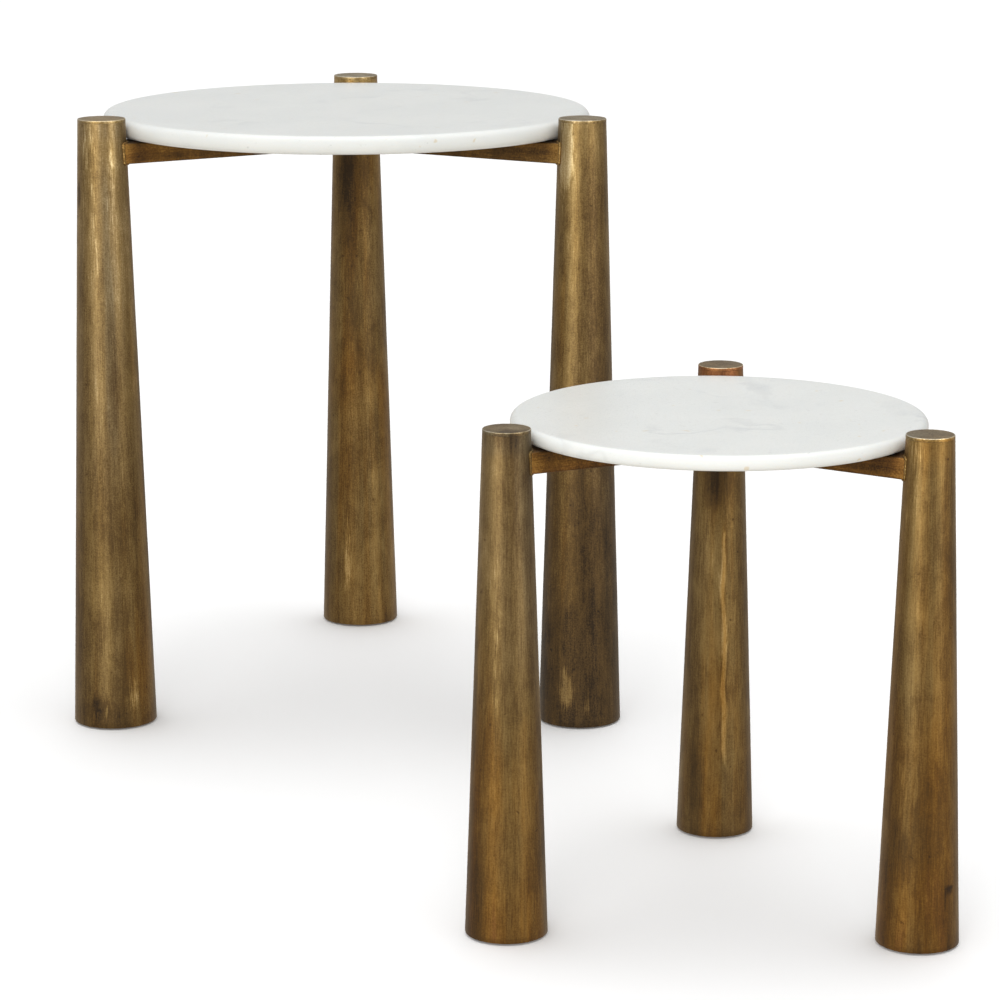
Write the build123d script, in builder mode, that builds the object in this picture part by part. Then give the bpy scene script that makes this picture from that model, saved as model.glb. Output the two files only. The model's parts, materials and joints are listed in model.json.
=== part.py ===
from build123d import *
from dataclasses import dataclass
from math import cos, radians, sin
import os

# A pair of round nesting tables. Each one is a marble disc that lies on a
# three-armed bar frame between three hollow conical legs. Millimetres, +Z up.
# The origin is on the floor, in the middle of the pair's bounding box.

# Sheet, plate and hardware sizes shared by both tables
SHELL_WALL = 2.5
CAP_THICKNESS = 3.0
CAP_EDGE_RADIUS = 0.7
SHELL_FOOT_CHAMFER = 0.8
BASE_THICKNESS = 4.0
BAR_WALL = 2.0
BAR_EDGE_RADIUS = 1.2
HUB_EDGE_CHAMFER = 1.0
BUMPER_HEIGHT = 1.0
BUMPER_RADIUS = 7.0
BUMPER_EDGE_RADIUS = 0.4

# Feet: a nylon disc under each leg, held by a countersunk screw
FOOT_GAP = 1.5          # leg shell above the floor
GLIDE_THICKNESS = 4.5
GLIDE_EDGE_RADIUS = 1.0
GLIDE_SIDE_GAP = 3.0    # glide to the inside of the leg shell
SCREW_RADIUS = 3.0
SCREW_HEAD_RADIUS = 5.6
SCREW_HEAD_DEPTH = 2.6
SCREW_RECESS = 1.0      # screw head above the floor
SCREW_TOP = 12.0
SCREW_GAP = 0.15
SCREW_SOCKET_RADIUS = 2.3   # hexagon, over its corners
SCREW_SOCKET_DEPTH = 2.4

# Where the legs stand round each table's centre, degrees
LEG_ANGLES = {"left": 210, "right": 330, "back": 90}


@dataclass
class Table:
    name: str
    height: float          # floor to the leg caps
    leg_circle: float      # radius of the circle through the leg axes
    leg_top: float         # leg radius at the cap
    leg_foot: float        # leg radius at the floor
    top_radius: float
    top_thickness: float
    top_drop: float        # marble surface below the leg caps
    bar_height: float
    bar_width: float
    hub_radius: float
    bumper_circle: float
    turn: float            # degrees about the table's own axis
    x: float = 0.0
    y: float = 0.0

    @property
    def top_z(self):
        return self.height - self.top_drop

    @property
    def bar_z(self):
        return self.top_z - self.top_thickness - BUMPER_HEIGHT - self.bar_height / 2

    def radial(self, side):
        angle = radians(LEG_ANGLES[side] + self.turn)
        return cos(angle), sin(angle)

    def leg_centre(self, side):
        c, s = self.radial(side)
        return self.x + self.leg_circle * c, self.y + self.leg_circle * s

    def leg_radius(self, z):
        return self.leg_foot + (self.leg_top - self.leg_foot) * z / self.height


LARGE = Table(
    name="large", height=610, leg_circle=271.5, leg_top=23.5, leg_foot=41.5,
    top_radius=246.5, top_thickness=18, top_drop=5, bar_height=20, bar_width=40,
    hub_radius=32, bumper_circle=190, turn=0,
)
SMALL = Table(
    name="small", height=432, leg_circle=198, leg_top=20, leg_foot=35,
    top_radius=175, top_thickness=13, top_drop=5, bar_height=18, bar_width=32,
    hub_radius=26, bumper_circle=138, turn=-4.3, x=334, y=-692,
)
TABLES = (LARGE, SMALL)


def centre_pair():
    """Move both tables so that the pair's bounding box is centred on the origin."""
    rounds = [(*table.leg_centre(side), table.leg_foot) for table in TABLES for side in LEG_ANGLES]
    rounds += [(table.x, table.y, table.top_radius) for table in TABLES]
    middle_x = (min(x - r for x, y, r in rounds) + max(x + r for x, y, r in rounds)) / 2
    middle_y = (min(y - r for x, y, r in rounds) + max(y + r for x, y, r in rounds)) / 2
    for table in TABLES:
        table.x -= middle_x
        table.y -= middle_y


def section_plane(x, y, radial=(1, 0)):
    """Upright plane through (x, y): local X runs along radial, local Y is up."""
    c, s = radial
    return Plane(origin=(x, y, 0), x_dir=(c, s, 0), z_dir=(s, -c, 0))


def upright_axis(x, y):
    return Axis((x, y, 0), (0, 0, 1))


def leg_section(table, side):
    return section_plane(*table.leg_centre(side), table.radial(side))


def marble_top(table):
    """Round slab with a full bullnose edge."""
    straight = table.top_radius - table.top_thickness / 2
    low = table.top_z - table.top_thickness
    with BuildPart() as top:
        with BuildSketch(section_plane(table.x, table.y)):
            with BuildLine():
                Line((0, low), (straight, low))
                ThreePointArc(
                    (straight, low), (table.top_radius, low + table.top_thickness / 2), (straight, table.top_z)
                )
                Line((straight, table.top_z), (0, table.top_z))
                Line((0, table.top_z), (0, low))
            make_face()
        revolve(axis=upright_axis(table.x, table.y))
    return top.part


def leg_shell(table, side):
    """Rolled conical tube, open at both ends."""
    low, high = FOOT_GAP, table.height - CAP_THICKNESS
    r_low, r_high = table.leg_radius(low), table.leg_radius(high)
    with BuildPart() as shell:
        with BuildSketch(leg_section(table, side)):
            with BuildLine():
                Polyline(
                    (r_low - SHELL_WALL, low),
                    (r_low - SHELL_FOOT_CHAMFER, low),
                    (table.leg_radius(low + SHELL_FOOT_CHAMFER), low + SHELL_FOOT_CHAMFER),
                    (r_high, high),
                    (r_high - SHELL_WALL, high),
                    close=True,
                )
            make_face()
        revolve(axis=upright_axis(*table.leg_centre(side)))
    return shell.part


def leg_cap(table, side):
    """Plate that closes the top of a leg, ground flush with the cone."""
    low, high = table.height - CAP_THICKNESS, table.height
    with BuildPart() as cap:
        with BuildSketch(leg_section(table, side)):
            with BuildLine():
                Polyline(
                    (0, low), (table.leg_radius(low), low), (table.leg_radius(high), high), (0, high), close=True
                )
            make_face()
        revolve(axis=upright_axis(*table.leg_centre(side)))
        fillet(cap.edges().group_by(Axis.Z)[-1], radius=CAP_EDGE_RADIUS)
    return cap.part


def base_plate(table, side):
    """Plate inside the foot of a leg, tapped for the glide's screw."""
    low = GLIDE_THICKNESS
    high = low + BASE_THICKNESS
    with BuildPart() as base:
        with BuildSketch(leg_section(table, side)):
            with BuildLine():
                Polyline(
                    (SCREW_RADIUS + SCREW_GAP, low),
                    (table.leg_radius(low) - SHELL_WALL, low),
                    (table.leg_radius(high) - SHELL_WALL, high),
                    (SCREW_RADIUS + SCREW_GAP, high),
                    close=True,
                )
            make_face()
        revolve(axis=upright_axis(*table.leg_centre(side)))
    return base.part


def glide(table, side):
    """Nylon foot disc with a countersunk hole, which touches the floor."""
    x, y = table.leg_centre(side)
    radius = table.leg_foot - SHELL_WALL - GLIDE_SIDE_GAP
    with BuildPart() as foot:
        with BuildSketch(Plane((x, y, 0))):
            Circle(radius)
        extrude(amount=GLIDE_THICKNESS)
        fillet(foot.edges().group_by(Axis.Z)[0], radius=GLIDE_EDGE_RADIUS)
        with BuildSketch(leg_section(table, side)):
            with BuildLine():
                Polyline(
                    (0, 0),
                    (SCREW_HEAD_RADIUS + SCREW_GAP, 0),
                    (SCREW_HEAD_RADIUS + SCREW_GAP, SCREW_RECESS),
                    (SCREW_RADIUS + SCREW_GAP, SCREW_RECESS + SCREW_HEAD_DEPTH),
                    (SCREW_RADIUS + SCREW_GAP, GLIDE_THICKNESS),
                    (0, GLIDE_THICKNESS),
                    close=True,
                )
            make_face()
        revolve(axis=upright_axis(x, y), mode=Mode.SUBTRACT)
    return foot.part


def glide_screws(table):
    """Countersunk screws, one up through each glide into its base plate."""
    with BuildPart() as screws:
        for side in LEG_ANGLES:
            with BuildSketch(leg_section(table, side)):
                with BuildLine():
                    Polyline(
                        (0, SCREW_RECESS),
                        (SCREW_HEAD_RADIUS, SCREW_RECESS),
                        (SCREW_RADIUS, SCREW_RECESS + SCREW_HEAD_DEPTH),
                        (SCREW_RADIUS, SCREW_TOP),
                        (0, SCREW_TOP),
                        close=True,
                    )
                make_face()
            revolve(axis=upright_axis(*table.leg_centre(side)))
        with BuildSketch(Plane((0, 0, SCREW_RECESS))):
            with Locations(*[table.leg_centre(side) for side in LEG_ANGLES]):
                RegularPolygon(SCREW_SOCKET_RADIUS, 6)
        extrude(amount=SCREW_SOCKET_DEPTH, mode=Mode.SUBTRACT)
    return screws.part


def arm(table, side):
    """Rectangular tube from the hub to a leg, its ends cut to fit both."""
    c, s = table.radial(side)
    across = Plane(origin=(table.x, table.y, table.bar_z), x_dir=(s, -c, 0), z_dir=(c, s, 0))
    with BuildPart() as bar:
        with BuildSketch(across):
            RectangleRounded(table.bar_width, table.bar_height, BAR_EDGE_RADIUS)
            Rectangle(
                table.bar_width - 2 * BAR_WALL, table.bar_height - 2 * BAR_WALL, mode=Mode.SUBTRACT
            )
        extrude(amount=table.leg_circle)
        with BuildSketch(leg_section(table, side)):
            with BuildLine():
                Polyline((0, 0), (table.leg_foot, 0), (table.leg_top, table.height), (0, table.height), close=True)
            make_face()
        revolve(axis=upright_axis(*table.leg_centre(side)), mode=Mode.SUBTRACT)
        with BuildSketch(Plane((table.x, table.y, table.bar_z))):
            Circle(table.hub_radius)
        extrude(amount=table.bar_height, both=True, mode=Mode.SUBTRACT)
    return bar.part


def hub(table):
    """Round boss that the three arms are welded to."""
    with BuildPart() as boss:
        with BuildSketch(Plane((table.x, table.y, table.bar_z))):
            Circle(table.hub_radius)
        extrude(amount=table.bar_height / 2, both=True)
        chamfer(boss.edges().filter_by(GeomType.CIRCLE), length=HUB_EDGE_CHAMFER)
    return boss.part


def bumper(table, side):
    """Rubber pad on an arm, which carries the marble."""
    c, s = table.radial(side)
    low = table.bar_z + table.bar_height / 2
    x = table.x + table.bumper_circle * c
    y = table.y + table.bumper_circle * s
    with BuildPart() as pad:
        with BuildSketch(Plane((x, y, low))):
            Circle(BUMPER_RADIUS)
        extrude(amount=BUMPER_HEIGHT)
        fillet(pad.edges().group_by(Axis.Z)[-1], radius=BUMPER_EDGE_RADIUS)
    return pad.part


def write(part, label):
    part.label = label
    export_step(part, f"parts/{label}.step")


os.makedirs("parts", exist_ok=True)
centre_pair()
PER_LEG = {
    "leg": leg_shell,
    "cap": leg_cap,
    "base_plate": base_plate,
    "glide": glide,
    "arm": arm,
    "bumper": bumper,
}
PER_TABLE = {"marble_top": marble_top, "hub": hub, "glide_screws": glide_screws}
for table in TABLES:
    for piece, make in PER_TABLE.items():
        write(make(table), f"{table.name}_{piece}")
    for side in LEG_ANGLES:
        for piece, make in PER_LEG.items():
            write(make(table, side), f"{table.name}_{side}_{piece}")
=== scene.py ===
"""Looks for the pair of nesting tables: marble discs on antiqued brass legs."""

import json
import math

import bmesh
import bpy
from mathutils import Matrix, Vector, noise


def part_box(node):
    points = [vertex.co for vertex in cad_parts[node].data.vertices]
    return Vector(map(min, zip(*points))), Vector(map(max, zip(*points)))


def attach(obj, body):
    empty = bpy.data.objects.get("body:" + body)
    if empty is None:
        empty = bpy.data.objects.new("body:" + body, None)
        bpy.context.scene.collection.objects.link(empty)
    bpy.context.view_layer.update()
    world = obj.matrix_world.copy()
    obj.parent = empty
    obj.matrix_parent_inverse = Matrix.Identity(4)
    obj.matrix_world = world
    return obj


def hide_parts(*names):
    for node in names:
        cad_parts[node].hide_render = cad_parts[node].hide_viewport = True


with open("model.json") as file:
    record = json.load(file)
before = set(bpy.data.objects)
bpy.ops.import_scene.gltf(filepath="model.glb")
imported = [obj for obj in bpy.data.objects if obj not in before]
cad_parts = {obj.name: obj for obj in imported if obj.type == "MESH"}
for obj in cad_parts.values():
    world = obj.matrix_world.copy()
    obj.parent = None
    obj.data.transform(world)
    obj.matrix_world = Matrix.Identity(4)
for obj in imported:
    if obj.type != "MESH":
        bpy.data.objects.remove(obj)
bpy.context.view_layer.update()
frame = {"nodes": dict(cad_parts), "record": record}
nodes = frame["nodes"]

MM = 0.001
TABLES = ("large", "small")
SIDES = ("left", "right", "back")

# As in the CAD: wall and foot chamfer of a leg's shell, edge of its cap, edge of a bar
SHELL_WALL = 2.5 * MM
FOOT_CHAMFER = 0.8 * MM
CAP_EDGE = 0.7 * MM
BAR_EDGE = 1.2 * MM

# Seam of the rolled sheet, this far round the leg from the side that faces the table's centre
SEAM_OFFSET = math.radians(13)
SEAM_WIDTH = math.radians(4.5)


# ---------------------------------------------------------------- measures

def mount(name):
    for m in frame["record"]["mounts"]:
        if m["name"] == name:
            return Vector(m["pos_m"])
    raise ValueError(name)


def middle(node):
    low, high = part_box(node)
    return (low + high) / 2


class Leg:
    """Where a leg stands and how it tapers, read from its CAD nodes."""

    def __init__(self, table, side):
        self.table = table
        self.name = f"{table}_{side}"
        low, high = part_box(f"{self.name}_leg")
        cap_low, cap_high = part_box(f"{self.name}_cap")
        centre = middle(f"{self.name}_leg")
        self.x, self.y = centre.x, centre.y
        self.low, self.high, self.top = low.z, high.z, cap_high.z
        self.r_low = (high.y - low.y) / 2
        self.r_high = (cap_high.y - cap_low.y) / 2
        hub = middle(f"{table}_hub")
        self.inward = math.atan2(hub.y - self.y, hub.x - self.x)
        self.seam = self.inward + SEAM_OFFSET

    def radius(self, z):
        share = (z - self.low) / (self.high - self.low)
        return self.r_low + (self.r_high - self.r_low) * share


LEGS = [Leg(table, side) for table in TABLES for side in SIDES]


def angle_between(a, b):
    return math.remainder(a - b, 2 * math.pi)


def bell(distance, half_width):
    return math.exp(-(distance / half_width) ** 2)


def smoothstep(low, high, x):
    t = min(1.0, max(0.0, (x - low) / (high - low)))
    return t * t * (3 - 2 * t)


# ---------------------------------------------------------------- mesh tools

SHARP_ANGLE = math.radians(35)


def make_object(name, bm):
    bmesh.ops.recalc_face_normals(bm, faces=bm.faces)
    mesh = bpy.data.meshes.new(name)
    bm.to_mesh(mesh)
    bm.free()
    mesh.polygons.foreach_set("use_smooth", [True] * len(mesh.polygons))
    mesh.set_sharp_from_angle(angle=SHARP_ANGLE)
    obj = bpy.data.objects.new(name, mesh)
    bpy.context.scene.collection.objects.link(obj)
    return obj


def lathe(name, rings, centre, segments, closed=False):
    """Turns a profile round an upright axis through centre.

    Each ring is a (radius, z) pair, or a function of the angle that gives one. A pair with radius 0
    ends the profile on the axis. A closed profile joins its last ring to its first.
    """
    bm = bmesh.new()
    rows = []
    for ring in rings:
        if not callable(ring) and ring[0] == 0:
            rows.append([bm.verts.new((centre.x, centre.y, ring[1]))])
            continue
        row = []
        for i in range(segments):
            a = 2 * math.pi * i / segments
            r, z = ring(a) if callable(ring) else ring
            row.append(bm.verts.new((centre.x + r * math.cos(a), centre.y + r * math.sin(a), z)))
        rows.append(row)
    if closed:
        rows.append(rows[0])
    for low, high in zip(rows, rows[1:]):
        for i in range(segments):
            j = (i + 1) % segments
            if len(low) == 1:
                bm.faces.new((low[0], high[i], high[j]))
            elif len(high) == 1:
                bm.faces.new((low[i], low[j], high[0]))
            else:
                bm.faces.new((low[i], low[j], high[j], high[i]))
    return make_object(name, bm)


def bead(name, path, radii, sides=10):
    """Round bead along a closed path of points, each with its own radius."""
    bm = bmesh.new()
    turns = [2 * math.pi * k / sides for k in range(sides)]
    skew = Vector((0.31, 0.17, 0.93))   # no part of a path runs this way
    rows = []
    for i, (point, radius) in enumerate(zip(path, radii)):
        ahead = (path[(i + 1) % len(path)] - path[i - 1]).normalized()
        side = ahead.cross(skew).normalized()
        up = side.cross(ahead)
        rows.append([bm.verts.new(point + (side * math.cos(t) + up * math.sin(t)) * radius) for t in turns])
    for low, high in zip(rows, rows[1:] + rows[:1]):
        for k in range(sides):
            n = (k + 1) % sides
            bm.faces.new((low[k], low[n], high[n], high[k]))
    return make_object(name, bm)


def set_attributes(obj, values):
    """Stores each named function of a point on every vertex, for a material to read."""
    for name, value in values.items():
        layer = obj.data.attributes.new(name, "FLOAT", "POINT")
        layer.data.foreach_set("value", [value(v.co) for v in obj.data.vertices])


def assign(obj, material):
    obj.data.materials.clear()
    obj.data.materials.append(material)


# ---------------------------------------------------------------- node tools

class NodeTree:
    """Short names for building a node tree."""

    def __init__(self, tree):
        self.tree = tree

    def put(self, socket, value):
        """Links a socket to another, or stores a value in it. A stored colour has no alpha."""
        if isinstance(value, bpy.types.NodeSocket):
            self.tree.links.new(value, socket)
        elif socket.type == "RGBA":
            socket.default_value = (*value, 1)
        else:
            socket.default_value = value

    def node(self, kind, inputs=None, **settings):
        """New node with its settings, then its inputs by name or number."""
        made = self.tree.nodes.new(kind)
        for key, value in settings.items():
            setattr(made, key, value)
        for key, value in (inputs or {}).items():
            self.put(made.inputs[key], value)
        return made

    def math(self, operation, a, b=0.0, clamp=False):
        made = self.node("ShaderNodeMath", {0: a, 1: b}, operation=operation, use_clamp=clamp)
        return made.outputs["Value"]

    def add(self, total, *values):
        for value in values:
            total = self.math("ADD", total, value)
        return total

    def multiply(self, a, b):
        return self.math("MULTIPLY", a, b)

    def vector_math(self, operation, *values):
        return self.node("ShaderNodeVectorMath", dict(enumerate(values)), operation=operation).outputs

    def stretch(self, value, low, high, to_low=0.0, to_high=1.0, smooth=False):
        """Maps low..high to to_low..to_high, held at the ends."""
        inputs = {"Value": value, "From Min": low, "From Max": high, "To Min": to_low, "To Max": to_high}
        way = "SMOOTHSTEP" if smooth else "LINEAR"
        return self.node("ShaderNodeMapRange", inputs, interpolation_type=way).outputs["Result"]

    def ramp(self, value, stops):
        made = self.node("ShaderNodeValToRGB", {"Fac": value})
        while len(made.color_ramp.elements) < len(stops):
            made.color_ramp.elements.new(0.5)
        for element, (place, colour) in zip(made.color_ramp.elements, stops):
            element.position = place
            element.color = (*colour, 1)
        return made.outputs["Color"]


class Material(NodeTree):
    """A Principled material, with patterns in the object's own space, which is that of the frame."""

    def __init__(self, name):
        self.data = bpy.data.materials.new(name)
        self.data.use_nodes = True
        super().__init__(self.data.node_tree)
        self.coords = self.node("ShaderNodeTexCoord").outputs["Object"]

    def mapping(self, scale, turn=0.0):
        """Coordinates turned by -turn about Z, then scaled."""
        vector = self.coords
        if turn:
            turned = self.node("ShaderNodeMapping", {"Vector": vector, "Rotation": (0, 0, -turn)})
            vector = turned.outputs["Vector"]
        return self.node("ShaderNodeMapping", {"Vector": vector, "Scale": scale}).outputs["Vector"]

    def noise(self, vector, scale=1.0, detail=4.0, rough=0.55, distortion=0.0):
        made = self.node("ShaderNodeTexNoise", {
            "Vector": vector,
            "Scale": scale,
            "Detail": detail,
            "Roughness": rough,
            "Distortion": distortion,
        })
        return made.outputs["Fac"]

    def mix(self, factor, a, b, blend="MIX"):
        inputs = {"Factor": factor, "A": a, "B": b}
        return self.node("ShaderNodeMix", inputs, data_type="RGBA", blend_type=blend).outputs["Result"]

    def distance(self, place):
        return self.vector_math("DISTANCE", self.coords, place)["Value"]

    def attribute(self, name):
        return self.node("ShaderNodeAttribute", attribute_name=name).outputs["Fac"]

    def bump(self, height, strength, distance, normal=None):
        inputs = {"Strength": strength, "Distance": distance, "Height": height}
        if normal is not None:
            inputs["Normal"] = normal
        return self.node("ShaderNodeBump", inputs).outputs["Normal"]

    def finish(self, **inputs):
        shader = self.tree.nodes["Principled BSDF"]
        for name, value in inputs.items():
            self.put(shader.inputs[name.replace("_", " ")], value)
        return self.data


# ---------------------------------------------------------------- materials

# Colours of the brass from the darkest patina to bare metal, each with its place on the shade's scale
BRASS_SHADES = (
    (0.06, (0.026, 0.015, 0.006)),
    (0.32, (0.102, 0.060, 0.021)),
    (0.58, (0.225, 0.149, 0.056)),
    (0.82, (0.400, 0.294, 0.136)),
    (1.00, (0.600, 0.485, 0.280)),
)
# Tints of the patina, each with the lean at which it begins and the lean at which it is full
BRASS_TINTS = {
    "grey": (0.0, -1.0, (0.93, 0.97, 1.17)),
    "orange": (0.0, 1.0, (1.16, 0.94, 0.62)),
    "ash": (-0.9, -1.9, (0.91, 1.04, 1.32)),
    "copper": (1.0, 2.0, (1.00, 0.78, 1.30)),
}


def antique_brass(
    name, grain, turn=0.0, tone=0.0, warmth=0.0, spread=1.0, speckling=0.09, leg=False, lighter_band=None,
):
    """Brushed brass under a rubbed brown patina. grain squeezes the brushing along one axis.

    On a leg or cap the mesh says how high a point lies, how its patina leans, where its metal shows
    through, with painted highlights among those places, and where it is stained. The place given for a
    bar is one near which its surface is lighter, with how far from it the lighter band begins and ends.
    """
    m = Material(name)

    def brushed(scale, **settings):
        return m.noise(m.mapping(tuple(scale * g for g in grain), turn), **settings)

    streaks = brushed(70, detail=6, rough=0.6, distortion=0.2)
    brushing = brushed(1000, detail=3, rough=0.6)
    blotches = m.noise(m.mapping((12, 12, 5)), detail=5, rough=0.55, distortion=0.8)
    clouds = m.noise(m.mapping((42, 42, 20)), detail=6, rough=0.68, distortion=0.5)
    speckle = m.noise(m.coords, scale=680, detail=2, rough=0.7)
    pits = m.stretch(m.noise(m.coords, scale=170, detail=3, rough=0.5), 0.69, 0.76)

    # How light the patina is, and how it leans: below 0 to grey, above 0 to orange
    shade = m.add(
        m.stretch(streaks, 0.25, 0.75, 0.28 + tone, 0.56 + tone),
        m.stretch(blotches, 0.3, 0.7, -0.10, 0.10),
        m.stretch(clouds, 0.3, 0.7, -0.10, 0.10),
        m.stretch(speckle, 0.35, 0.65, -speckling, speckling),
        m.stretch(brushing, 0.3, 0.7, -0.08, 0.08),
    )
    hue = m.noise(m.mapping((11, 11, 4)), detail=4, rough=0.5, distortion=0.6)
    hue_streaks = brushed(38, detail=4, rough=0.6)
    lean = m.add(
        m.stretch(hue, 0.3, 0.7, warmth - 0.55 * spread, warmth + 0.55 * spread),
        m.stretch(hue_streaks, 0.3, 0.7, -0.70 * spread, 0.70 * spread),
    )
    # Lighter near the given place on a bar, fading out between the two distances.
    if lighter_band:
        place, begin, end = lighter_band
        ragged = m.stretch(clouds, 0.3, 0.7, -4 * MM, 4 * MM)
        away = m.add(m.distance(place), ragged)
        shade = m.add(shade, m.stretch(away, begin, end, 0.26, 0.0))
    if leg:
        # Lighter towards the top of a leg: partly painted light, which falls more on its upper part, partly
        # a paler patina there. Then each leg's own tone and marks are added.
        shade = m.add(shade, m.stretch(m.attribute("rise"), 0.0, 1.0, -0.05, 0.10), m.attribute("tone"))
        lean = m.add(lean, m.attribute("warmth"))
        drips = m.noise(m.mapping((110, 110, 12)), detail=4, rough=0.6, distortion=0.4)
        ragged = m.math("SUBTRACT", m.add(clouds, brushing, drips), 1.5)
        # Lighter where the mesh marks rubbed metal and painted highlights; darker where it marks stains.
        bare_and_highlight = m.stretch(m.add(m.attribute("bare_and_highlight"), ragged), 0.30, 0.62)
        stain = m.stretch(m.add(m.attribute("stain"), ragged), 0.32, 0.70)
        shade = m.math("SUBTRACT", shade, m.multiply(stain, 0.30))
        shade = m.add(shade, m.multiply(bare_and_highlight, 0.26))
    shade = m.math("SUBTRACT", shade, m.multiply(pits, 0.22), clamp=True)

    colour = m.ramp(shade, BRASS_SHADES)
    for begin, full, tint in BRASS_TINTS.values():
        tinted = m.mix(1.0, colour, tint, blend="MULTIPLY")
        colour = m.mix(m.stretch(lean, begin, full), colour, tinted)
    rough = m.stretch(shade, 0.1, 0.9, 0.56, 0.40)
    metal = m.stretch(shade, 0.05, 0.45, 0.80, 1.0)
    normal = m.bump(brushing, 0.30, 0.15 * MM)
    normal = m.bump(speckle, 0.30, 0.22 * MM, normal)
    normal = m.bump(pits, 0.5, -0.25 * MM, normal)
    return m.finish(Base_Color=colour, Roughness=rough, Metallic=metal, Normal=normal)


MARBLE_PALE = (0.694, 0.705, 0.682)
MARBLE_CLOUD = (0.652, 0.668, 0.650)
MARBLE_VEIN = (0.470, 0.485, 0.490)
MARBLE_GRAIN = (0.400, 0.395, 0.380)
MARBLE_RUST = (0.560, 0.420, 0.200)


def white_marble():
    """White marble with faint grey veins and tiny dark grains, honed and lightly polished."""
    m = Material("white_marble")
    warp = m.noise(m.coords, scale=5.5, detail=4, rough=0.55)
    warped = m.vector_math("MULTIPLY_ADD", warp, (0.16, 0.22, 0.10), m.coords)["Vector"]
    vein_lines = m.noise(warped, scale=7.5, detail=5, rough=0.5)
    veins = m.math("ABSOLUTE", m.math("SUBTRACT", vein_lines, 0.5))
    veins = m.stretch(veins, 0.0, 0.035, 1.0, 0.0, smooth=True)
    patches = m.stretch(m.noise(m.coords, scale=9, detail=3), 0.50, 0.66)
    veins = m.multiply(veins, patches)
    clouds = m.stretch(m.noise(warped, scale=14, detail=6, rough=0.6), 0.35, 0.75)
    grains = m.stretch(m.noise(m.coords, scale=210, detail=2, rough=0.4), 0.70, 0.76)
    rust = m.stretch(m.noise(m.coords, scale=95, detail=2, rough=0.4), 0.735, 0.78)
    crystals = m.noise(m.coords, scale=1400, detail=2, rough=0.6)

    colour = m.mix(clouds, MARBLE_PALE, MARBLE_CLOUD)
    colour = m.mix(m.multiply(veins, 0.45), colour, MARBLE_VEIN)
    colour = m.mix(m.multiply(grains, 0.40), colour, MARBLE_GRAIN)
    colour = m.mix(m.multiply(rust, 0.45), colour, MARBLE_RUST)
    rough = m.stretch(crystals, 0.3, 0.7, 0.26, 0.35)
    normal = m.bump(crystals, 0.03, 0.04 * MM)
    normal = m.bump(clouds, 0.04, 0.4 * MM, normal)
    return m.finish(
        Base_Color=colour, Roughness=rough, Normal=normal,
        Subsurface_Weight=0.12, Subsurface_Radius=(0.010, 0.008, 0.006), Subsurface_Scale=0.6,
    )


def steel_plate():
    """Raw steel with a little rust, for the plates inside the feet."""
    m = Material("steel_plate")
    grain = m.noise(m.mapping((300, 300, 300)), detail=5, rough=0.6)
    rust = m.stretch(m.noise(m.mapping((40, 40, 40)), detail=6, rough=0.65), 0.45, 0.7)
    colour = m.mix(grain, (0.105, 0.085, 0.060), (0.200, 0.165, 0.120))
    colour = m.mix(m.multiply(rust, 0.5), colour, (0.120, 0.060, 0.028))
    rough = m.stretch(grain, 0.3, 0.7, 0.38, 0.60)
    return m.finish(Base_Color=colour, Roughness=rough, Metallic=0.9, Normal=m.bump(grain, 0.3, 0.2 * MM))


def zinc_steel():
    """Zinc-plated steel, for the screws."""
    m = Material("zinc_steel")
    grain = m.noise(m.mapping((500, 500, 500)), detail=4, rough=0.6)
    colour = m.mix(grain, (0.52, 0.52, 0.50), (0.70, 0.69, 0.64))
    rough = m.stretch(grain, 0.3, 0.7, 0.24, 0.42)
    return m.finish(Base_Color=colour, Roughness=rough, Metallic=1.0, Normal=m.bump(grain, 0.2, 0.1 * MM))


def nylon():
    """Scuffed black nylon, for the glides."""
    m = Material("nylon")
    texture = m.noise(m.coords, scale=1500, detail=3, rough=0.5)
    scuffs = m.stretch(m.noise(m.mapping((60, 160, 60)), detail=5, rough=0.7), 0.55, 0.75)
    colour = m.mix(m.multiply(scuffs, 0.35), (0.030, 0.027, 0.024), (0.110, 0.105, 0.098))
    rough = m.stretch(texture, 0.3, 0.7, 0.48, 0.62)
    return m.finish(Base_Color=colour, Roughness=rough, Normal=m.bump(texture, 0.3, 0.1 * MM))


def rubber():
    """Dusty black rubber, for the bumpers."""
    m = Material("rubber")
    texture = m.noise(m.coords, scale=2200, detail=3, rough=0.6)
    dust = m.stretch(m.noise(m.coords, scale=300, detail=4), 0.5, 0.8)
    colour = m.mix(m.multiply(dust, 0.3), (0.018, 0.018, 0.019), (0.070, 0.068, 0.065))
    rough = m.stretch(texture, 0.3, 0.7, 0.70, 0.85)
    return m.finish(Base_Color=colour, Roughness=rough, Normal=m.bump(texture, 0.35, 0.12 * MM))


def pale_floor():
    m = Material("pale_floor")
    texture = m.noise(m.coords, scale=6, detail=3)
    colour = m.mix(texture, (0.930, 0.931, 0.933), (0.940, 0.941, 0.943))
    return m.finish(Base_Color=colour, Roughness=0.75)


# ---------------------------------------------------------------- patina of the legs

# How light and how warm each leg is: at the foot, at the top, and on the cap's side
PATINA = {
    "large_left": {"tone": (0.00, 0.09, 0.09), "warmth": (0.00, -0.35, -0.85)},
    "large_right": {"tone": (-0.13, 0.02, 0.06), "warmth": (-0.50, -0.20, -0.30)},
    "large_back": {"tone": (0.00, -0.06, 0.12), "warmth": (-0.10, 0.00, 0.10)},
    "small_left": {"tone": (-0.02, -0.03, -0.02), "warmth": (0.70, -0.75, -1.30)},
    "small_right": {"tone": (-0.02, 0.02, 0.04), "warmth": (0.80, 0.20, 0.40)},
    "small_back": {"tone": (0.00, -0.06, -0.09), "warmth": (0.00, -0.20, 1.80)},
}
CAP_FACE_WARMTH = -1.2
# How far below a leg's top the patina of its cap begins, and where it is full
CAP_GRADE_LOW, CAP_GRADE_HIGH = 26 * MM, 12 * MM
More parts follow.
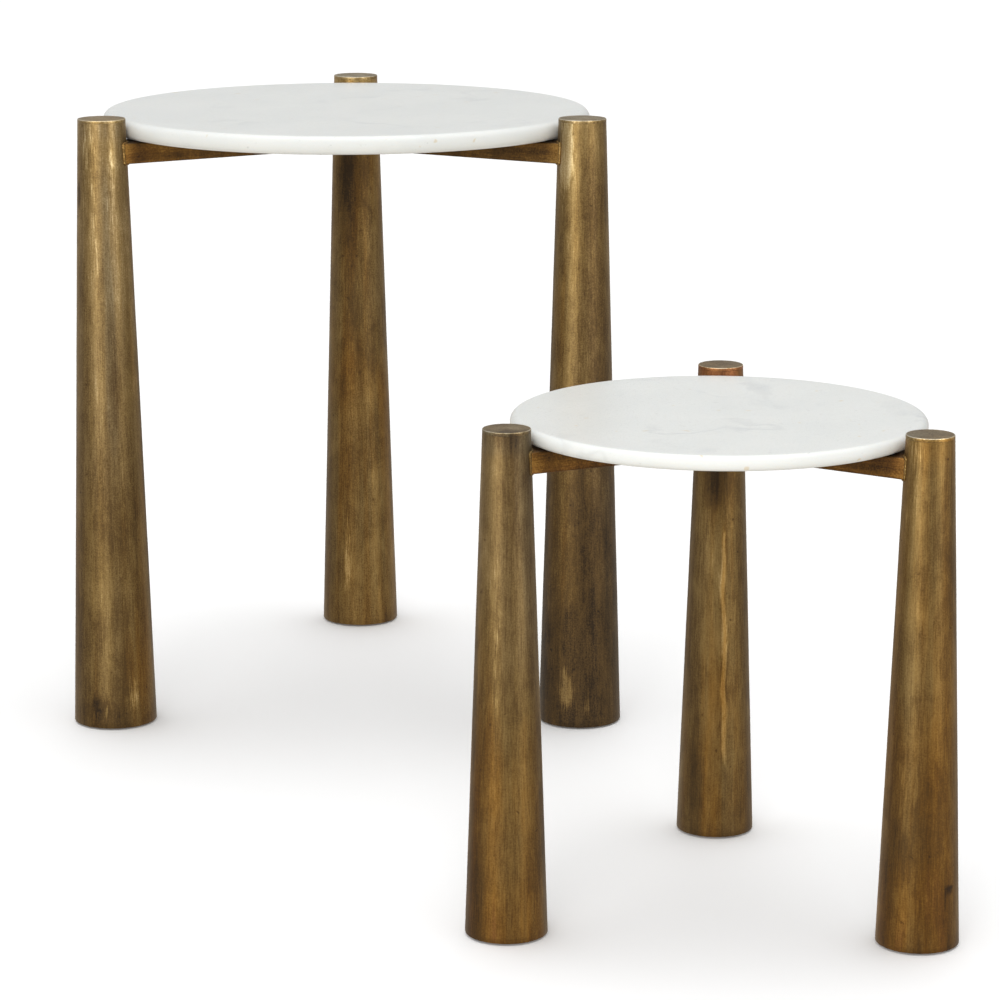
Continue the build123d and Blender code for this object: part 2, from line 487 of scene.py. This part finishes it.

# Marks on the legs: degrees right of straight ahead, share of the height, half width in degrees,
# half height as a share, strength. Some are painted highlights and painted shade, as noted at each leg.
MARKS = {
    "large_left": {
        # The first two tone marks, lighter high on the front, are painted highlights where the softboxes'
        # sheen falls; the third darkens the lower right side.
        "tone": [(-10, 0.82, 14, 0.160, 0.06), (24, 0.88, 14, 0.120, 0.06), (44, 0.28, 15, 0.200, -0.06)],
        # The three bare marks high on the leg lie on the same bright places: partly rubbed metal, partly
        # painted highlight. The two at the foot are rubbed metal.
        "bare_and_highlight": [
            (-30, 0.95, 24, 0.070, 0.42), (-12, 0.80, 8, 0.140, 0.30), (24, 0.88, 12, 0.110, 0.40),
            (34, 0.05, 14, 0.040, 0.45), (-6, 0.03, 9, 0.030, 0.35),
        ],
        "stain": [(-62, 0.88, 11, 0.030, 0.90), (-20, 0.035, 30, 0.030, 0.50), (50, 0.10, 14, 0.040, 0.40)],
    },
    "large_right": {
        # High on the left, the first tone mark and the first bare mark are partly painted highlight, partly
        # rubbed metal. The second tone mark, darker on the right side high up where the fill softbox's
        # sheen falls, is painted shade.
        "tone": [(-42, 0.96, 20, 0.060, 0.14), (24, 0.78, 30, 0.240, -0.16), (10, 0.34, 40, 0.200, -0.07)],
        "bare_and_highlight": [
            (-44, 0.95, 21, 0.065, 1.15), (4, 0.545, 9, 0.006, 0.70), (-22, 0.065, 9, 0.035, 0.95),
            (8, 0.04, 8, 0.020, 0.55),
        ],
        "stain": [(-32, 0.84, 10, 0.025, 0.70), (30, 0.18, 14, 0.050, 0.40)],
    },
    "large_back": {
        # The first tone mark, dark just under the marble's edge, is painted shade from the slab above.
        "tone": [
            (-20, 0.83, 30, 0.100, -0.38), (-8, 0.68, 14, 0.100, -0.14), (0, 0.52, 34, 0.120, -0.09),
            (36, 0.30, 20, 0.250, -0.07),
        ],
        "bare_and_highlight": [(-19, 0.13, 6, 0.080, 0.60)],
        "stain": [(4, 0.47, 4, 0.010, 0.60)],
    },
    "small_left": {
        "tone": [(40, 0.55, 24, 0.300, -0.08), (-60, 0.20, 20, 0.300, -0.08)],
        "bare_and_highlight": [(-18, 0.55, 8, 0.200, 0.30)],
        "stain": [(0, 1.00, 95, 0.060, 0.62), (20, 0.86, 10, 0.060, 0.45)],
    },
    "small_right": {
        "tone": [(30, 0.74, 30, 0.240, -0.12), (-60, 0.40, 20, 0.400, -0.08)],
        # This bare mark, high on the left, is partly painted highlight, partly rubbed metal.
        "bare_and_highlight": [(-40, 0.95, 18, 0.070, 0.50)],
        "stain": [(46, 0.125, 10, 0.010, 0.90), (34, 0.10, 5, 0.040, 0.50)],
    },
    "small_back": {
        # The first tone mark, dark high on the leg just under the marble, is painted shade from the slab
        # above.
        "tone": [(-14, 0.77, 30, 0.080, -0.36), (18, 0.45, 22, 0.250, 0.12), (-50, 0.15, 22, 0.250, -0.14)],
        "bare_and_highlight": [],
        "stain": [(-8, 0.74, 5, 0.080, 0.60)],
    },
}
# All round each foot: strength of the stain, and how high it reaches as a share of the height
FOOT_STAIN, FOOT_STAIN_HEIGHT = 0.30, 0.09

# How bare the seam was ground, how warm it is there, how far it wanders, and where its ground part
# begins and ends as shares of the height
SEAM_BARE = {"large_back": 0.15, "small_back": 0.95}
SEAM_BARE_OTHER = 0.40
SEAM_WARMTH = 0.9
SEAM_WANDER = math.radians(5)
SEAM_BEGIN = (0.14, 0.20)
SEAM_END = (0.70, 0.64)


def patina(leg):
    """What a leg's brass reads from its mesh, each as a function of a point."""
    seam_bare = SEAM_BARE.get(leg.name, SEAM_BARE_OTHER)

    def rise(p):
        return p.z / leg.top

    def marks(attribute, p):
        facing = math.atan2(p.x - leg.x, leg.y - p.y)
        total = 0.0
        for azimuth, share, half_width, half_height, strength in MARKS[leg.name][attribute]:
            across = bell(angle_between(facing, math.radians(azimuth)), math.radians(half_width))
            total += strength * across * bell(rise(p) - share, half_height)
        return total

    def grade(attribute, p):
        foot, top, cap = PATINA[leg.name][attribute]
        level = foot + (top - foot) * smoothstep(0.1, 0.95, rise(p))
        return level + (cap - level) * smoothstep(CAP_GRADE_LOW, CAP_GRADE_HIGH, leg.top - p.z)

    def seam(p):
        around_leg = math.atan2(p.y - leg.y, p.x - leg.x)
        wander = SEAM_WANDER * noise.noise(Vector((leg.x * 5, leg.y * 5, p.z * 24)))
        strip = bell(angle_between(around_leg, leg.seam + wander), SEAM_WIDTH)
        return seam_bare * strip * smoothstep(*SEAM_BEGIN, rise(p)) * smoothstep(*SEAM_END, rise(p))

    def foot_stain(p):
        return FOOT_STAIN * smoothstep(FOOT_STAIN_HEIGHT, 0.0, rise(p))

    return {
        "rise": rise,
        "tone": lambda p: grade("tone", p) + marks("tone", p),
        "warmth": lambda p: grade("warmth", p) + SEAM_WARMTH * seam(p),
        "bare_and_highlight": lambda p: marks("bare_and_highlight", p) + seam(p),
        "stain": lambda p: marks("stain", p) + foot_stain(p),
    }


# ---------------------------------------------------------------- pieces

LEG_SEGMENTS = 128
LEG_RINGS = 96
# Lumps of the rolled sheet: their depth, and how close they lie round a leg and along it
LUMP_DEPTH = 0.10 * MM
LUMPS_ROUND, LUMPS_ALONG = 3.2, 14
SEAM_RIDGE = 0.12 * MM
SEAM_RIPPLES = 120


def leg_piece(leg):
    """Conical shell with the slight unevenness of rolled, hand-rubbed sheet and a seam dressed by grinding.
    """

    def outside(z, inset=0.0):
        def ring(a):
            p = Vector((math.cos(a) * LUMPS_ROUND, math.sin(a) * LUMPS_ROUND, z * LUMPS_ALONG + leg.x * 7))
            lump = (noise.fractal(p, 0.9, 2.1, 3) - 1) * LUMP_DEPTH
            ripple = 0.7 + 0.5 * noise.noise(Vector((0, 0, z * SEAM_RIPPLES)))
            ridge = bell(angle_between(a, leg.seam), SEAM_WIDTH) * SEAM_RIDGE * ripple
            return leg.radius(z) - inset + lump + ridge, z
        return ring

    def inside(z):
        return leg.radius(z) - SHELL_WALL, z

    on_chamfer = FOOT_CHAMFER * 0.35
    above_chamfer = leg.low + FOOT_CHAMFER
    span = leg.high - above_chamfer
    rings = [inside(leg.high), inside(leg.low)]
    rings.append((leg.r_low - FOOT_CHAMFER - 0.2 * MM, leg.low))
    rings.append(outside(leg.low + on_chamfer, on_chamfer))
    rings += [outside(above_chamfer + span * i / LEG_RINGS) for i in range(LEG_RINGS + 1)]
    obj = lathe(f"{leg.name}_leg_shell", rings, leg, LEG_SEGMENTS, closed=True)
    set_attributes(obj, patina(leg))
    return obj


CAP_EDGE_STEPS = 8
CAP_EDGE_WEAR = 0.25 * MM
CAP_DISH = 0.06 * MM
# Joint of cap and shell, a fine groove: how deep it is, and how high above the shell it ends
CAP_GROOVE_DEPTH, CAP_GROOVE_HEIGHT = 0.05 * MM, 0.15 * MM
# How far from the cap's edge its wear begins, and where it is full
CAP_WEAR_LOW, CAP_WEAR_HIGH = 0.9 * MM, 0.3 * MM
CAP_WEAR_BARE = 0.65
CAP_WEAR_TONE, CAP_WEAR_PATCHES = 0.28, 0.18


def cap_piece(leg):
    """Closing plate with an eased, worn edge."""
    r_top = leg.radius(leg.top)

    def edge(share):
        turn = share * math.pi / 2

        def ring(a):
            p = Vector((math.cos(a) * 2.5, math.sin(a) * 2.5, leg.x * 9 + leg.top))
            wear = abs(noise.noise(p)) * CAP_EDGE_WEAR
            r = r_top - CAP_EDGE + CAP_EDGE * math.cos(turn) - wear * math.sin(turn)
            return r, leg.top - CAP_EDGE + CAP_EDGE * math.sin(turn)
        return ring

    def face(share):
        def ring(a):
            p = Vector((math.cos(a) * share * 2, math.sin(a) * share * 2, leg.y * 11 + leg.top))
            return (r_top - CAP_EDGE) * share, leg.top - CAP_DISH * (1 + noise.noise(p))
        return ring

    rings = [(0, leg.high), (leg.r_high * 0.98, leg.high)]
    rings.append((leg.r_high - CAP_GROOVE_DEPTH, leg.high + CAP_GROOVE_HEIGHT))
    rings += [edge(i / CAP_EDGE_STEPS) for i in range(CAP_EDGE_STEPS + 1)]
    rings += [face(share) for share in (0.9, 0.7, 0.5, 0.3, 0.12)]
    rings.append((0, leg.top - CAP_DISH))
    obj = lathe(f"{leg.name}_leg_cap", rings, leg, LEG_SEGMENTS)

    def worn(p):
        from_edge = math.hypot(math.hypot(p.x - leg.x, p.y - leg.y) - r_top, p.z - leg.top)
        return smoothstep(CAP_WEAR_LOW, CAP_WEAR_HIGH, from_edge)

    def worn_tone(p):
        patches = noise.noise(Vector((p.x, p.y, leg.top)) * 160)
        return worn(p) * (CAP_WEAR_TONE + CAP_WEAR_PATCHES * patches)

    side = patina(leg)
    set_attributes(obj, {
        "rise": side["rise"],
        "tone": lambda p: side["tone"](p) + worn_tone(p),
        "warmth": lambda p: CAP_FACE_WARMTH if p.z > leg.top - 0.4 * MM else side["warmth"](p),
        "bare_and_highlight": lambda p: CAP_WEAR_BARE * worn(p),
        "stain": side["stain"],
    })
    return obj


WELD_RADIUS = {"large": 1.7 * MM, "small": 1.4 * MM}
HUB_WELD_SHARE = 0.75
WELD_STEP = 0.9 * MM
# The bead's even ripples and its unevenness, as shares of its radius
WELD_RIPPLE, WELD_UNEVENNESS = 0.10, 0.22


def bar_outline(width, height):
    """Points round a bar's section, about WELD_STEP apart, as (offset across, offset up)."""
    a, b = width / 2 - BAR_EDGE, height / 2 - BAR_EDGE
    corners = [(a, b, 0), (-a, b, 90), (-a, -b, 180), (a, -b, 270)]

    def on_corner(x, y, degrees):
        t = math.radians(degrees)
        return Vector((x + BAR_EDGE * math.cos(t), y + BAR_EDGE * math.sin(t)))

    points = []
    for (x, y, start), (next_x, next_y, _) in zip(corners, corners[1:] + corners[:1]):
        points += [on_corner(x, y, start + 30 * k) for k in range(4)]
        begin = on_corner(x, y, start + 90)
        end = on_corner(next_x, next_y, start + 90)
        steps = round((end - begin).length / WELD_STEP)
        points += [begin.lerp(end, k / steps) for k in range(steps)]
    return points


def weld_piece(leg, at_hub):
    """Bead all round the end of a bar, where it meets its leg or the hub."""
    hub_low, hub_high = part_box(f"{leg.table}_hub")
    centre = (hub_low + hub_high) / 2
    hub_radius = (hub_high.x - hub_low.x) / 2
    bar = nodes[f"{leg.name}_arm"]
    outward = Vector((leg.x - centre.x, leg.y - centre.y, 0)).normalized()
    across = Vector((-outward.y, outward.x, 0))
    offsets = [(bar.matrix_world @ v.co - centre).dot(across) for v in bar.data.vertices]
    outline = bar_outline(max(offsets) - min(offsets), hub_high.z - hub_low.z)
    reach = math.hypot(leg.x - centre.x, leg.y - centre.y)
    bead_radius = WELD_RADIUS[leg.table] * (HUB_WELD_SHARE if at_hub else 1)
    path, radii = [], []
    for k, (side, up) in enumerate(outline):
        if at_hub:
            along = math.sqrt(hub_radius ** 2 - side * side)
        else:
            along = reach - math.sqrt(leg.radius(centre.z + up) ** 2 - side * side)
        path.append(centre + outward * along + across * side + Vector((0, 0, up)))
        uneven = noise.noise(Vector((k * 0.23, leg.x * 31, leg.y * 17)))
        radii.append(bead_radius * (1 + WELD_RIPPLE * math.sin(k * 1.9) + WELD_UNEVENNESS * uneven))
    place = "hub" if at_hub else "leg"
    return bead(f"{leg.name}_{place}_weld", path, radii)


MARBLE_SEGMENTS = 256
BULLNOSE_STEPS = 24
# Rings on the flat faces of a slab, as shares of their radius
FACE_RINGS = (0.3, 0.6, 0.85, 0.97)


def marble_piece(table):
    """Round slab with a full bullnose edge."""
    low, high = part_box(f"{table}_marble_top")
    centre = (low + high) / 2
    half = (high.z - low.z) / 2
    straight = (high.x - low.x) / 2 - half
    rings = [(0, low.z)]
    rings += [(straight * share, low.z) for share in FACE_RINGS]
    for i in range(BULLNOSE_STEPS + 1):
        turn = -math.pi / 2 + math.pi * i / BULLNOSE_STEPS
        rings.append((straight + half * math.cos(turn), centre.z + half * math.sin(turn)))
    rings += [(straight * share, high.z) for share in reversed(FACE_RINGS)]
    rings.append((0, high.z))
    return lathe(f"{table}_marble_slab", rings, centre, MARBLE_SEGMENTS)


# Scale of the brushing along a leg, where it is 1 across it, and how speckled the leg is
LEG_GRAIN = {"large": 0.04, "small": 0.035}
LEG_SPECKLING = {"large": 0.075, "small": 0.05}
# Bars darker and warmer than the legs: the darkening is partly painted shade from the marble above, partly
# a darker patina.
BAR_TONE = {"large": -0.19, "small": -0.20}
BAR_WARMTH = {"large": 0.70, "small": 1.25}
# Lighter band of a bar beside its weld: how far from the leg it begins and ends
LIGHTER_BAND_BEGIN, LIGHTER_BAND_END = 1 * MM, 12 * MM


def leg_brass(name, table):
    """Brass brushed along the legs of a table."""
    return antique_brass(
        name, grain=(1.0, 1.0, LEG_GRAIN[table]), speckling=LEG_SPECKLING[table], leg=True,
    )


def bar_brass(leg):
    """Brass brushed along the bar that runs to a leg, and lighter beside the weld."""
    z = middle(f"{leg.table}_hub").z
    reach = leg.radius(z)
    return antique_brass(
        f"antique_brass_{leg.name}_arm", grain=(0.05, 1.0, 1.0), turn=leg.inward, spread=0.4,
        tone=BAR_TONE[leg.table], warmth=BAR_WARMTH[leg.table],
        lighter_band=((leg.x, leg.y, z), reach + LIGHTER_BAND_BEGIN, reach + LIGHTER_BAND_END),
    )


def build():
    """Makes and dresses every piece; returns the brass ones."""
    brass = []
    shell_brass = {
        "large": leg_brass("antique_brass", "large"),
        "small": leg_brass("antique_brass_small", "small"),
    }
    cap_brass = antique_brass("antique_brass_cap", grain=(0.5, 0.5, 0.5), leg=True)
    hub_brass = antique_brass("antique_brass_hub", grain=(0.4, 0.4, 0.4), tone=-0.10)
    weld_brass = antique_brass("antique_brass_weld", grain=(0.4, 0.4, 0.4), tone=0.10, warmth=0.30)
    marble = white_marble()
    plate, zinc, glide, bumper = steel_plate(), zinc_steel(), nylon(), rubber()

    for leg in LEGS:
        for piece, material, node in (
            (leg_piece(leg), shell_brass[leg.table], f"{leg.name}_leg"),
            (cap_piece(leg), cap_brass, f"{leg.name}_cap"),
            (weld_piece(leg, at_hub=False), weld_brass, None),
            (weld_piece(leg, at_hub=True), weld_brass, None),
        ):
            assign(piece, material)
            brass.append(piece)
            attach(piece, f"{leg.table}_frame")
            if node:
                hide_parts(node)
        bar = nodes[f"{leg.name}_arm"]
        assign(bar, bar_brass(leg))
        brass.append(bar)
        assign(nodes[f"{leg.name}_base_plate"], plate)
        assign(nodes[f"{leg.name}_glide"], glide)
        assign(nodes[f"{leg.name}_bumper"], bumper)
    for table in TABLES:
        hub = nodes[f"{table}_hub"]
        assign(hub, hub_brass)
        brass.append(hub)
        assign(nodes[f"{table}_glide_screws"], zinc)
        slab = marble_piece(table)
        assign(slab, marble)
        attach(slab, f"{table}_top")
        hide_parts(f"{table}_marble_top")
    return brass


# ---------------------------------------------------------------- studio

FLOOR_SIZE = 60.0
LIGHT_TARGET = Vector((0, 0, 0.35))
SOFTBOX_DISTANCE, SOFTBOX_HEIGHT = 3.0, 1.35

# Brightness of the studio from the horizon (0) to overhead (1), as a share of the brightest spot's,
# which stands a little behind straight above
OVERHEAD = 3.06
OVERHEAD_TILT = math.radians(9)
DOME = ((0.0, 0.36), (0.10, 0.22), (0.30, 0.16), (0.60, 0.19), (0.85, 0.44), (1.0, 1.0))
# Bounce from the floor, below the horizon
BOUNCE = 0.78
BOUNCE_COLOUR = (1.0, 0.94, 0.85)
# What the brass mirrors: how bright it is in front of the tables, and behind them
MIRRORED_FRONT, MIRRORED_BACK = 0.17, 0.34
MIRRORED_COLOUR = (0.96, 0.98, 1.0)


def area_light(name, place, size, power, colour=(1, 1, 1)):
    data = bpy.data.lights.new(name, "AREA")
    data.shape = "RECTANGLE"
    data.size, data.size_y = size
    data.energy = power
    data.color = colour
    light = bpy.data.objects.new(name, data)
    light.location = place
    light.rotation_euler = (LIGHT_TARGET - place).to_track_quat("-Z", "Y").to_euler()
    bpy.context.scene.collection.objects.link(light)
    return light


def around(azimuth, distance, height):
    """A point round the object, its azimuth in degrees to the right of the camera."""
    a = math.radians(azimuth)
    return Vector((math.sin(a) * distance, -math.cos(a) * distance, height))


def studio(brass):
    """Floor, surroundings and lights."""
    bm = bmesh.new()
    bmesh.ops.create_grid(bm, x_segments=8, y_segments=8, size=FLOOR_SIZE / 2)
    floor = make_object("floor", bm)
    assign(floor, pale_floor())

    # The object mirrors and is lit from below by the surroundings, not by the floor's full white
    floor.visible_glossy = False
    floor.visible_diffuse = False
    surroundings()

    key_place = around(-31, SOFTBOX_DISTANCE, SOFTBOX_HEIGHT)
    fill_place = around(48, SOFTBOX_DISTANCE, SOFTBOX_HEIGHT)
    softboxes = (
        area_light("key", key_place, (1.3, 2.3), 76, (1.0, 0.985, 0.95)),
        area_light("fill", fill_place, (1.1, 2.3), 60, (1.0, 0.99, 0.97)),
    )
    # The softboxes are there for the sheen of the brass; the marble would only glare in them
    sheen = bpy.data.collections.new("brass_sheen")
    for piece in brass:
        sheen.objects.link(piece)
    for softbox in softboxes:
        softbox.visible_diffuse = False
        softbox.light_linking.receiver_collection = sheen
    front = area_light("front", around(-8, 4.2, 1.0), (2.4, 1.2), 101)
    front.visible_glossy = False


def surroundings():
    """White studio with a warm, dimmer floor bounce, and its darker sides as the brass mirrors them."""
    world = bpy.data.worlds.new("studio")
    bpy.context.scene.world = world
    world.use_nodes = True
    w = NodeTree(world.node_tree)

    def background(colour, strength):
        return w.node("ShaderNodeBackground", {"Color": colour, "Strength": strength}).outputs["Background"]

    def blend(factor, a, b):
        return w.node("ShaderNodeMixShader", {0: factor, 1: a, 2: b}).outputs["Shader"]

    direction = w.node("ShaderNodeTexCoord").outputs["Generated"]
    parts = w.node("ShaderNodeSeparateXYZ", {"Vector": direction}).outputs
    overhead = (0, math.sin(OVERHEAD_TILT), math.cos(OVERHEAD_TILT))
    height = w.vector_math("DOT_PRODUCT", direction, overhead)["Value"]
    dome = w.ramp(height, [(place, (bright, bright, bright)) for place, bright in DOME])
    upward = w.stretch(parts["Z"], -0.06, 0.02)
    even = blend(upward, background(BOUNCE_COLOUR, BOUNCE), background(dome, OVERHEAD))
    behind = w.stretch(parts["Y"], 0.50, 0.85, MIRRORED_FRONT, MIRRORED_BACK)
    mirrored = background(MIRRORED_COLOUR, behind)

    # What the camera sees mirrored at first hand is contrasty; further bounces see the even white
    path = w.node("ShaderNodeLightPath").outputs
    first_hand = w.math("LESS_THAN", path["Ray Depth"], 1.5)
    seen_mirrored = w.multiply(path["Is Glossy Ray"], first_hand)
    w.put(w.tree.nodes["World Output"].inputs["Surface"], blend(seen_mirrored, even, mirrored))


# Camera, relative to the large table's marble top
SENSOR_WIDTH = 36
CAMERA_FOCAL = 3.568 * SENSOR_WIDTH
CAMERA_BACK = 3.6214
CAMERA_RIGHT = 0.1315
CAMERA_HEIGHT = 1.0146
CAMERA_PITCH = math.radians(12.73)
CAMERA_HEADING = math.radians(-0.378)


def camera():
    data = bpy.data.cameras.new("camera")
    data.sensor_width = SENSOR_WIDTH
    data.lens = CAMERA_FOCAL
    data.clip_end = 200
    cam = bpy.data.objects.new("camera", data)
    top = mount("large_top")
    cam.location = (top.x + CAMERA_RIGHT, top.y - CAMERA_BACK, CAMERA_HEIGHT)
    cam.rotation_euler = (math.pi / 2 - CAMERA_PITCH, 0, CAMERA_HEADING)
    bpy.context.scene.collection.objects.link(cam)
    bpy.context.scene.camera = cam


bpy.context.scene.view_settings.view_transform = "Standard"
camera()
studio(build())
